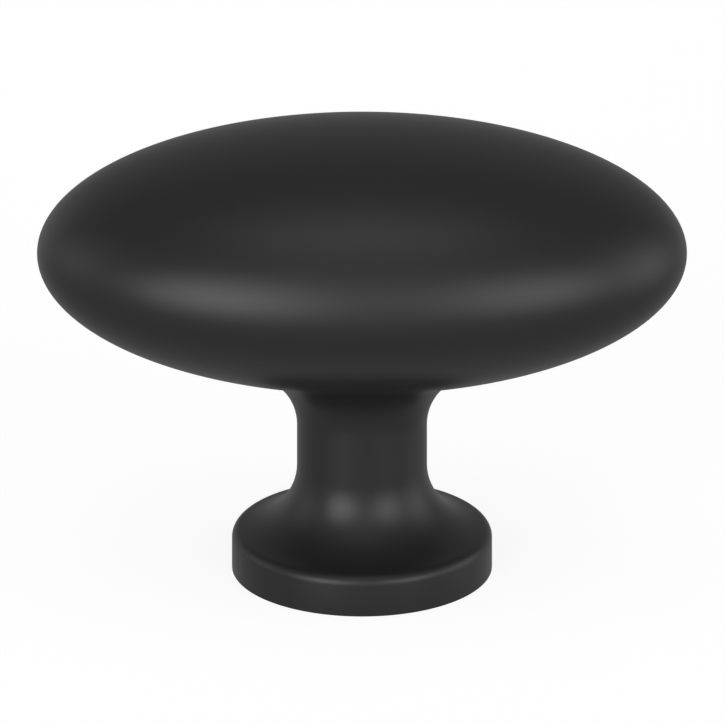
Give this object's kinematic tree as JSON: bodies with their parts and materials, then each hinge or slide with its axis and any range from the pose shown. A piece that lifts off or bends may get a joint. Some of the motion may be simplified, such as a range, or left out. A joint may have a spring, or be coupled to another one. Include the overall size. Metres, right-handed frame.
{
  "type": "cabinet knob",
  "caption": "Oval egg-shaped knob on a round flared foot, cast in one piece with a blind tapped hole in its back, screwed through a cabinet door or drawer front.",
  "frame": {"origin": "centre of the round mounting face, on the fixing hole's axis, where the knob seats on the cabinet front", "axes": "+Z away from the cabinet front along the neck, +X along the length of the oval head, +Y across its width"},
  "size_m": [0.04, 0.0246, 0.0288],
  "materials": {
    "satin_black_coat": "smooth satin black coat over die-cast zinc alloy"
  },
  "bodies": {
    "root": {"knob": "satin_black_coat"}
  },
  "joints": []
}
